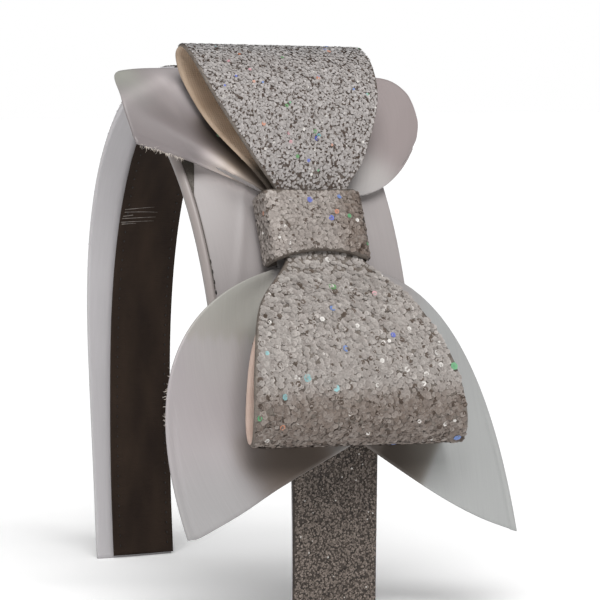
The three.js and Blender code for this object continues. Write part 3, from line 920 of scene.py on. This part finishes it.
def scatter_flakes(name, front, back, cover, painted_shade):
    """Dished flakes over the front of a grid. cover says how thick each row is, and the last argument how
    much shade is painted on its flakes; below none it paints them paler.
    """
    size, density, sides, flecks, specks, seed, dark, light, speck_tone = FLAKE_LOOKS[name]
    chance = np.random.default_rng(seed)
    near_left, near_right, far_right, far_left = np.moveaxis(grid_quads(front), 2, 0)
    cell_area = np.linalg.norm(np.cross(far_right - near_left, far_left - near_right), axis=-1) / 2
    counts = chance.poisson(cell_area * density * cover[:-1, None])
    rows, columns = np.indices(counts.shape)
    rows = np.repeat(rows.ravel(), counts.ravel())
    columns = np.repeat(columns.ravel(), counts.ravel())
    s = chance.random(len(rows))
    radius = size / 2 * chance.uniform(*FLAKE_SPREAD, len(rows))
    part = (columns + s) / (front.shape[1] - 1)
    width = np.linalg.norm(front[:, -1] - front[:, 0], axis=-1)[rows]
    inside = np.minimum(part, 1 - part) * width > FLAKE_EDGE * radius
    rows, columns, s, radius = rows[inside], columns[inside], s[inside, None], radius[inside, None]
    total = len(rows)
    t = chance.random((total, 1))

    def blend(grid):
        near = grid[rows, columns] * (1 - s) + grid[rows, columns + 1] * s
        far = grid[rows + 1, columns] * (1 - s) + grid[rows + 1, columns + 1] * s
        return near * (1 - t) + far * t

    outward = unit(blend(grid_normals(front, 2 * front - back)))
    facing = unit(outward + FLAKE_TILT * chance.normal(size=(total, 3)))
    first = unit(np.cross(facing, chance.normal(size=(total, 3))))
    second = np.cross(facing, first)
    coloured = chance.random(total) < flecks
    radius[coloured] *= FLECK_GROWTH
    lift = chance.uniform(*FLAKE_LIFT, (total, 1))
    lift[coloured] = FLAKE_LIFT[1]
    centre = blend(front) + outward * lift
    turn = even_turns(sides)
    ring = np.cos(turn)[None, :, None] * first[:, None] + np.sin(turn)[None, :, None] * second[:, None]
    rim = centre[:, None] + radius[:, None] * ring
    middle = centre - facing * FLAKE_DISH * radius
    corners = np.concatenate([middle[:, None], rim], axis=1).reshape(-1, 3)
    corner = np.arange(sides) + 1
    fan = np.stack([np.zeros(sides, int), corner, np.roll(corner, -1)], axis=1)
    step = sides + 1
    faces = (np.arange(total)[:, None, None] * step + fan).reshape(-1, 3)
    flakes = make_object(name, corners, faces.tolist(), [flake_film])

    colour = dark + (light - dark) * chance.beta(*FLAKE_PALENESS, (total, 1))
    colour[chance.random(total) < specks] = speck_tone
    # Painted shade on the flakes of each row; an amount below none paints them paler instead
    colour[:, :3] *= PAINTED_SHADE_TONE ** (painted_shade[rows, None] * chance.uniform(*PAINTED_SHADE_SPREAD, (total, 1)))
    colour[chance.random(total) < GLINT_SHARE] = GLINT_TONE
    fleck = FLECK_TONES[chance.integers(len(FLECK_TONES), size=coloured.sum())]
    colour[coloured] += (fleck - colour[coloured]) * FLECK_STRENGTH
    corner_colour = np.repeat(colour[:, None], step, axis=1)
    corner_colour[:, 0, :3] *= FLAKE_MIDDLE_SHADE
    paint_corners(flakes, "flake_colour", corner_colour)
    return finish_piece(flakes, "glitter")


# Small sewn and loose details

def add_stitches(name, centres, along, outward, size):
    """Stitches as small rounded grains, with size as length, width and height."""
    length, width, height = size
    stations = np.linspace(-1, 1, STITCH_STATIONS)[:, None]
    around = even_turns(STITCH_SIDES)
    fullness = np.sqrt(1 - STITCH_TAPER * stations ** 2)
    lengthwise = stations * length / 2 + 0 * around
    sideways = fullness * np.cos(around) * width / 2
    upward = fullness * np.sin(around) * height / 2
    grains = centres[:, None, None] + lengthwise[..., None] * along[:, None, None]
    grains = grains + sideways[..., None] * np.cross(along, outward)[:, None, None]
    grains = grains + upward[..., None] * outward[:, None, None]
    grain_faces = ring_faces(STITCH_STATIONS, STITCH_SIDES)
    starts = np.arange(len(centres)) * STITCH_STATIONS * STITCH_SIDES
    faces = [[corner + start for corner in face] for start in starts.tolist() for face in grain_faces]
    return make_object(name, grains.reshape(-1, 3), faces, [seam_thread])


def add_threads(name, roots, ways, outward, lengths, width, curl, material, seed):
    """Loose thread ends as thin strips that leave their roots and curl a little."""
    chance = np.random.default_rng(seed)
    part = np.linspace(0, 1, THREAD_POINTS)[None, :, None]
    side = unit(np.cross(ways, outward))
    bent = chance.normal(size=(len(roots), 1, 1)) * curl
    raised = chance.normal(size=(len(roots), 1, 1)) * curl
    bend = bent * side[:, None] + raised * outward[:, None]
    line = roots[:, None] + lengths[:, None, None] * (part * ways[:, None] + part ** 2 * bend)
    half = side[:, None] * width / 2 * (1 - THREAD_TAPER * part)
    corners = np.stack([line - half, line + half], axis=2)
    number = np.arange(len(roots) * THREAD_POINTS * 2).reshape(-1, THREAD_POINTS, 2)
    faces = np.stack([number[:, :-1, 0], number[:, :-1, 1], number[:, 1:, 1], number[:, 1:, 0]], axis=2)
    return make_object(name, corners.reshape(-1, 3), faces.reshape(-1, 4).tolist(), [material])


def sew_lining():
    """A row of small stitches along each edge of the lining."""
    length = np.arange(-SKIN_END + LINING_STITCH_STEP, SKIN_END, LINING_STITCH_STEP)
    edges = (lining_left(length) + LINING_STITCH_INSET, core_right(length) - LINING_STITCH_INSET)
    rows = [on_arch(length, x, LINING_LOW) for x in edges]
    along = np.concatenate([unit(np.gradient(row, axis=0)) for row in rows])
    outward = np.concatenate([unit(on_arch(length, x, LINING_LOW - 1) - row) for x, row in zip(edges, rows)])
    stitches = add_stitches("lining_stitches", np.concatenate(rows), along, outward, LINING_STITCH)
    return finish_piece(stitches, "lining")


def snag_lining():
    """Pulled light threads across the upper part of the plain leg's lining."""
    chance = np.random.default_rng(SNAG_SEED)
    count = len(SNAG_HEIGHTS)
    length = -np.interp(-np.array(SNAG_HEIGHTS), -UP, ALONG)
    left = lining_left(length) + chance.uniform(*SNAG_INSET, count)
    roots = on_arch(length, left, LINING_LOW - SNAG_LIFT)
    outward = unit(on_arch(length, left, LINING_LOW - 1) - roots)
    ways = unit(np.array(SNAG_WAY) + SNAG_STRAY * chance.normal(size=(count, 3)))
    lengths = chance.uniform(*SNAG_LENGTH, count)
    snags = add_threads("lining_snags", roots, ways, outward, lengths, SNAG_WIDTH, SNAG_CURL,
                        snag_thread, SNAG_CURL_SEED)
    return finish_piece(snags, "lining")


def fray_edge(name, grid, p):
    """Short loose threads along part of the first column of a grid, pointing off its edge."""
    first, last, count, length, seed = FRAYS[name]
    grid = grid[(p > first) & (p < last)]
    chance = np.random.default_rng(seed)
    row = chance.integers(0, len(grid) - 1, count)
    part = chance.random((count, 1))
    edge = grid[row, 0] * (1 - part) + grid[row + 1, 0] * part
    off = unit(grid[row, 0] - grid[row, FRAY_ROOT_COLUMN])
    ways = unit(off + FRAY_STRAY * chance.normal(size=(count, 3)))
    outward = np.broadcast_to(BOW_OUT, edge.shape)
    lengths = length * chance.uniform(*FRAY_SPREAD, count)
    frays = add_threads(name, edge - FRAY_ROOT * off, ways, outward, lengths, FRAY_WIDTH, FRAY_CURL,
                        ribbon_thread, seed)
    return finish_piece(frays, "satin")


# Pieces of the band

def build_core():
    core = swept_strip("core", satin, HALF_LENGTH, core_left, -CORE_HALF, CORE_HALF, CORE_ROUNDING)
    paint_tone(core, CORE_TONE)
    finish_piece(core, "satin", "band_core")


def build_lining():
    lining = swept_strip("lining", lining_cloth, SKIN_END, lining_left, LINING_LOW, LINING_HIGH,
                         LINING_ROUNDING)
    finish_piece(lining, "lining", "inner_lining")
    sew_lining()
    snag_lining()


def build_cover():
    """Glitter canvas along the outside of the arch. Its rim is satin on the far half."""
    columns = np.linspace(-1, 1, COVER_COLUMNS)
    length = np.linspace(-SKIN_END, SKIN_END, 2 * BAND_STATIONS)[:, None]
    ground = COVER_HIGH - COVER_PILE
    width = 2 * half_width(length, COVER_WIDTH_FAR, COVER_WIDTH_NEAR)
    half = width / 2 - (ground - COVER_LOW) / 2
    front = on_arch(length, half * columns, ground)
    back = on_arch(length, half * columns, COVER_LOW)
    materials = [shaded_ground, satin, satin, shaded_ground, satin, shaded_ground]
    near_half = np.concatenate([length[:1, 0], length[:, 0]]) > 0
    cover = cloth_sheet("cover", front, back, materials, False, near_half)
    paint_tone(cover, CORE_TONE)
    rows = len(length)
    finish_piece(cover, "glitter", "glitter_cover")
    flakes = scatter_flakes("cover_flakes", front, back, np.ones(rows), np.zeros(rows))


# Satin ribbon under the bow

def base_point(a, across, lift):
    """Points of the base ribbon, which droops past the sides of the band."""
    x = BOW_SHIFT_X + across + a * math.tan(BASE_LEAN)
    overhang = np.maximum(0, np.abs(x) - COVER_WIDTH_NEAR / 2)
    level = COVER_HIGH + LAYER_GAP - BASE_DRAPE * overhang ** 2
    return on_arch(BOW_LENGTH + a, x, level + lift)


def build_base():
    a = np.linspace(-BASE_HALF_LENGTH, BASE_HALF_LENGTH, BASE_ROWS)[:, None]
    across = np.concatenate([
        np.linspace(BASE_LEFT, HEM_END, HEM_COLUMNS, endpoint=False),
        np.linspace(HEM_END, BASE_RIGHT, BASE_COLUMNS),
    ])[None]
    hem_part = np.clip((across - BASE_LEFT) / HEM_WIDTH, 0, 1)
    hem_lift = HEM_RISE * np.sin(math.pi * hem_part) ** HEM_FULLNESS
    from_fold = (across - BASE_FOLD_AT - BASE_FOLD_SLOPE * a) / BASE_FOLD_WIDTH
    fold_lift = BASE_FOLD_LIFT * np.exp(-from_fold ** 2)
    front = base_point(a, across, BASE_THICKNESS + hem_lift + fold_lift)
    back = base_point(a, across, 0.0)
    base = cloth_sheet("base_ribbon", front, back, [satin, satin, satin])
    paint_tone(base, base_tones(base), front)
    finish_piece(base, "satin", "satin_base")
    build_sliver()
    sew_hem()


def build_sliver():
    """Narrow wedge of glitter canvas that shows between the hem and the ribbon."""
    a = np.linspace(*SLIVER_LENGTH, SLIVER_ROWS)[:, None]
    width = SLIVER_TAIL + SLIVER_SLOPE * np.maximum(0, SLIVER_POINT - a)
    across = HEM_END - SLIVER_UNDER_HEM + width * np.linspace(0, 1, SLIVER_COLUMNS)
    front = base_point(a, across, BASE_THICKNESS + SLIVER_LIFT_FRONT)
    back = base_point(a, across, BASE_THICKNESS + SLIVER_LIFT_BACK)
    sliver = cloth_sheet("hem_sliver", front, back, [olive_ground, olive_ground, olive_ground])
    return finish_piece(sliver, "glitter")


def sew_hem():
    """The last stitches of the hem, below the sliver."""
    a = np.array(HEM_STITCHES_AT)
    across = HEM_END + HEM_STITCH_OFFSET
    centres = base_point(a, across, BASE_THICKNESS)
    along = unit(base_point(a + 1, across, BASE_THICKNESS) - centres)
    outward = unit(base_point(a, across, BASE_THICKNESS + 1) - centres)
    stitches = add_stitches("hem_stitches", centres, along, outward, HEM_STITCH)
    return finish_piece(stitches, "satin")


# Satin bow

def ray_values(rays, q):
    """Columns a1 to c2 of the table at each q, eased through the rows of its half of the table."""
    made = np.zeros((len(q), rays.shape[1] - 1))
    for chosen, half in ((q < 0, rays[rays[:, 0] <= 0]), (q >= 0, rays[rays[:, 0] >= 0])):
        places = half[:, 0]
        values = half[:, 1:]
        last = len(half) - 1
        before = np.maximum(np.arange(len(half)) - 1, 0)
        after = np.minimum(np.arange(len(half)) + 1, last)
        slopes = (values[after] - values[before]) / (places[after] - places[before])[:, None]
        row = np.clip(np.searchsorted(places, q[chosen], side="left") - 1, 0, last - 1)
        span = (places[row + 1] - places[row])[:, None]
        t = (q[chosen] - places[row])[:, None] / span
        made[chosen] = hermite(values[row], values[row + 1], slopes[row] * span, slopes[row + 1] * span, t)
    return made


def satin_half(rays, waist_a, p, q):
    """Middle of one half of the satin bow, p from the knot to the cut edge in rows, q across in columns."""
    a1, b1, c1, a2, b2, c2 = ray_values(rays, q).T[:, None]
    q = q[None]
    p = p[:, None] * (1 - TIP_ROUNDING * smoothstep(-q, TIP_START, 1) ** 2)
    near, middle, far = (1 - p) ** 2, 2 * p * (1 - p), p ** 2
    fade = np.maximum(0, 1 - p / PLEAT_REACH)
    rise = np.minimum(1, PLEAT_AT_KNOT + p / PLEAT_RISE)
    pleat = PLEAT_DEPTH * rise * fade ** 2 * np.cos(q * math.pi * PLEAT_COUNT) * (1 - q ** 2)
    a = near * waist_a + middle * a1 + far * a2
    b = near * (WAIST_SHIFT + SATIN_WAIST_HALF * q) + middle * b1 + far * b2
    c = near * SATIN_LEVEL + middle * c1 + far * c2 + pleat
    groove = np.exp(-((np.abs(q) - 1 + SELVEDGE_WIDTH) / (SELVEDGE_WIDTH / 3)) ** 2)
    return a, b, c - SELVEDGE_DEPTH * groove * smoothstep(p, *SELVEDGE_FROM)


def shape_upper_left(a, b, c, p, q):
    """Roll of the lobe's lower edge, and its corner bent back along a crease."""
    p = p[:, None]
    q = q[None]
    edge = smoothstep(-q, -ROLL_START, 1.0) ** 2
    roll = ROLL_DEPTH * edge * (1 - smoothstep(p, *ROLL_FADE)) * smoothstep(p, *ROLL_RISE)
    (from_a, from_b), (to_a, to_b) = CREASE_FROM, CREASE_TO
    size = math.hypot(to_a - from_a, to_b - from_b)
    beyond = ((a - from_a) * (to_b - from_b) - (b - from_b) * (to_a - from_a)) / -size
    bent = CREASE_SLOPE * np.logaddexp(0, beyond / CREASE_SOFTNESS) * CREASE_SOFTNESS * (b < 0)
    back = roll + bent
    return a + TUCK_DOWN * back, b + TUCK_RIGHT * back, c - back


def build_satin_bow():
    q = np.linspace(-1, 1, SATIN_COLUMNS)
    up_p = np.linspace(1, 0, SATIN_UP_ROWS)
    up = shape_upper_left(*satin_half(SATIN_UP_RAYS, -SATIN_WAIST_REACH, up_p, q), up_p, q)
    down_p = np.linspace(0, 1, SATIN_DOWN_ROWS)
    down = satin_half(SATIN_DOWN_RAYS, SATIN_WAIST_REACH, down_p, q)
    share = np.linspace(0, 1, SATIN_KNOT_ROWS)[1:-1, None]
    bridge = [near[-1:] + (far[:1] - near[-1:]) * share for near, far in zip(up, down)]
    a, b, c = (np.concatenate(parts) for parts in zip(up, bridge, down))
    middle = bow_point(a, b, c)
    normals = grid_normals(middle, middle + BOW_OUT)
    front = middle + normals * SATIN_THICKNESS / 2
    back = middle - normals * SATIN_THICKNESS / 2
    ribbon = cloth_sheet("satin_ribbon", front, back, [satin, satin, satin])
    paint_tone(ribbon, ribbon_tones(ribbon), front)
    finish_piece(ribbon, "satin", "satin_bow")
    frays = [
        fray_edge("upper_fray", middle[:SATIN_UP_ROWS], up_p),
        fray_edge("lower_fray", middle[-SATIN_DOWN_ROWS:], down_p),
    ]


# Glitter bow and knot

def closed_curve(values, turn):
    """Smooth closed curve through the rows of a table, at parts of a turn."""
    place = turn * len(values)
    row = np.floor(place).astype(int)
    before, start, end, after = (values[(row + step) % len(values)] for step in (-1, 0, 1, 2))
    return hermite(start, end, (end - before) / 2, (after - start) / 2, (place - row)[:, None])


def build_glitter_bow():
    """The strip with its two loops. The lower one is paler, inside and out; the paler inside is painted
    light.
    """
    turn = np.arange(LOOP_STATIONS) / LOOP_STATIONS
    step = 1e-4
    a, c, left, right = closed_curve(LOOP_PROFILE, turn).T[..., None]
    heading = unit((closed_curve(LOOP_PROFILE, turn + step) - closed_curve(LOOP_PROFILE, turn - step))[:, :2])
    b = -left + (left + right) * np.linspace(0, 1, LOOP_COLUMNS)

    def side(shift):
        return bow_point(a + heading[:, 1:] * shift, b, c - heading[:, :1] * shift)

    outer = side(CANVAS_THICKNESS / 2)
    inner = side(-CANVAS_THICKNESS / 2)
    materials = [glitter_ground, canvas, pale_ground, pale_ground, pale_canvas, pale_ground]
    strip = cloth_sheet("glitter_strip", outer, inner, materials, True, a[:, 0] > 0)
    paint_tone(strip, canvas_painted_shade(strip))
    finish_piece(strip, "glitter", "glitter_bow")
    flakes = [loop_flakes(name, outer, inner, a[:, 0], c[:, 0]) for name in LOOP_ENDS]


def loop_flakes(name, outer, inner, a, c):
    """Flakes of one loop. They lie thinner behind it, and where its end turns they have painted shade on the
    lower loop and painted light on the upper one.
    """
    way, painted_end_shade, end_reach = LOOP_ENDS[name]
    rows = np.append(np.arange(len(outer)), 0)
    part = rows[(a[rows] * way >= 0)]
    start = np.argmax(np.diff(part, append=part[-1] + 1) != 1) + 1
    part = np.roll(part, -start) if start < len(part) else part
    # Painted shade towards the loop's end
    painted_shade = painted_end_shade * smoothstep(a[part] * way, *end_reach)
    cover = LOOP_BACK_COVER + (1 - LOOP_BACK_COVER) * smoothstep(c[part], *LOOP_FRONT_LEVEL)
    return scatter_flakes(name, outer[part], inner[part], cover, painted_shade)


def build_knot():
    """Short strip round the waist of both bows, fuller at its middle, with painted shade on the flakes of its
    right side.
    """
    turn = even_turns(KNOT_STATIONS)[:, None]
    t = np.linspace(0, 1, KNOT_COLUMNS)[None]

    def side(inset):
        x, y = np.cos(turn), np.sin(turn)
        size = (np.abs(x) ** KNOT_SQUARENESS + np.abs(y) ** KNOT_SQUARENESS) ** (-1 / KNOT_SQUARENESS)
        across = (KNOT_HALF_WIDTH - inset) * x * size
        c = (KNOT_FRONT + KNOT_BACK) / 2 + ((KNOT_FRONT - KNOT_BACK) / 2 - inset) * y * size
        bottom = KNOT_HALF_LENGTH - KNOT_BOTTOM_ARC * (1 - (across / KNOT_HALF_WIDTH) ** 2)
        a = -KNOT_HALF_LENGTH + (bottom + KNOT_HALF_LENGTH) * t
        crown = KNOT_CROWN * 4 * t * (1 - t) * np.maximum(0, y)
        return bow_point(a, WAIST_SHIFT + across, c + crown)

    outer = side(0.0)
    inner = side(CANVAS_THICKNESS)
    knot = cloth_sheet("knot_strip", outer, inner, [pale_ground, canvas, pale_ground], True)
    paint_tone(knot, canvas_painted_shade(knot))
    finish_piece(knot, "glitter", "knot")
    # Painted shade on the knot's flakes towards its right side
    painted_shade = KNOT_SIDE_SHADE * smoothstep(closed(np.cos(turn[:, 0])), *KNOT_SIDE_REACH)
    flakes = scatter_flakes("knot_flakes", closed(outer), closed(inner), np.ones(len(painted_shade)), painted_shade)


# Stage

def add_camera():
    azimuth, elevation, roll = map(math.radians, (CAMERA_AZIMUTH, CAMERA_ELEVATION, CAMERA_ROLL))
    away = Vector((math.sin(azimuth) * math.cos(elevation), -math.cos(azimuth) * math.cos(elevation),
                   math.sin(elevation)))
    level_right = Vector((math.cos(azimuth), math.sin(azimuth), 0))
    level_up = away.cross(level_right)
    right = level_right * math.cos(roll) + level_up * math.sin(roll)
    up = level_up * math.cos(roll) - level_right * math.sin(roll)
    seen = Vector(ARCH_PLACE) + Vector((0, 0, LEG_DROP))
    eye = seen + away * CAMERA_DISTANCE
    aim = seen + right * CAMERA_AIM_RIGHT + up * CAMERA_AIM_UP
    forward = (aim - eye).normalized()
    right = (right - forward * right.dot(forward)).normalized()
    up = right.cross(forward)
    data = bpy.data.cameras.new("camera")
    data.sensor_width = SENSOR_WIDTH
    data.lens = SENSOR_WIDTH * PHOTO_PIXELS_PER_MM * CAMERA_DISTANCE / PHOTO_SIDE
    camera = bpy.data.objects.new("camera", data)
    camera.matrix_world = Matrix.Translation(eye * MM) @ Matrix((right, up, -forward)).transposed().to_4x4()
    bpy.context.scene.collection.objects.link(camera)
    bpy.context.scene.camera = camera


def add_floor():
    turn = even_turns(FLOOR_SIDES)
    drop = np.full(FLOOR_SIDES, -FLOOR_DROP)
    corners = np.stack([FLOOR_RADIUS * np.cos(turn), FLOOR_RADIUS * np.sin(turn), drop], axis=1)
    material = make_material("floor", floor_look, *FLOOR_TONES)
    floor = make_object("floor", corners, [list(range(FLOOR_SIDES))], [material])


def add_sky():
    """Even studio light from above, brightest along the horizon, where it meets the floor."""
    world = bpy.data.worlds.new("studio")
    world.use_nodes = True
    bpy.context.scene.world = world
    place = add_node(world, "ShaderNodeTexCoord", {}).outputs["Generated"]
    height = add_node(world, "ShaderNodeSeparateXYZ", {"Vector": place}).outputs["Z"]
    stops = [(position, (level, level, level, 1)) for position, level in SKY_STOPS]
    background = world.node_tree.nodes["Background"]
    set_inputs(world, background, {"Color": colour_ramp(world, height, *stops)})


def add_sun(name, comes_from, strength, softness):
    light = bpy.data.lights.new(name, "SUN")
    light.energy = strength
    light.angle = softness
    lamp = bpy.data.objects.new(name, light)
    lamp.rotation_euler = (-Vector(comes_from)).to_track_quat("-Z", "Y").to_euler()
    bpy.context.scene.collection.objects.link(lamp)


add_camera()
build_core()
build_lining()
build_cover()
build_base()
build_satin_bow()
build_glitter_bow()
build_knot()
add_floor()
add_sky()
bpy.context.scene.view_settings.view_transform = "Standard"
for name, sun in SUNS.items():
    add_sun(name, **sun)
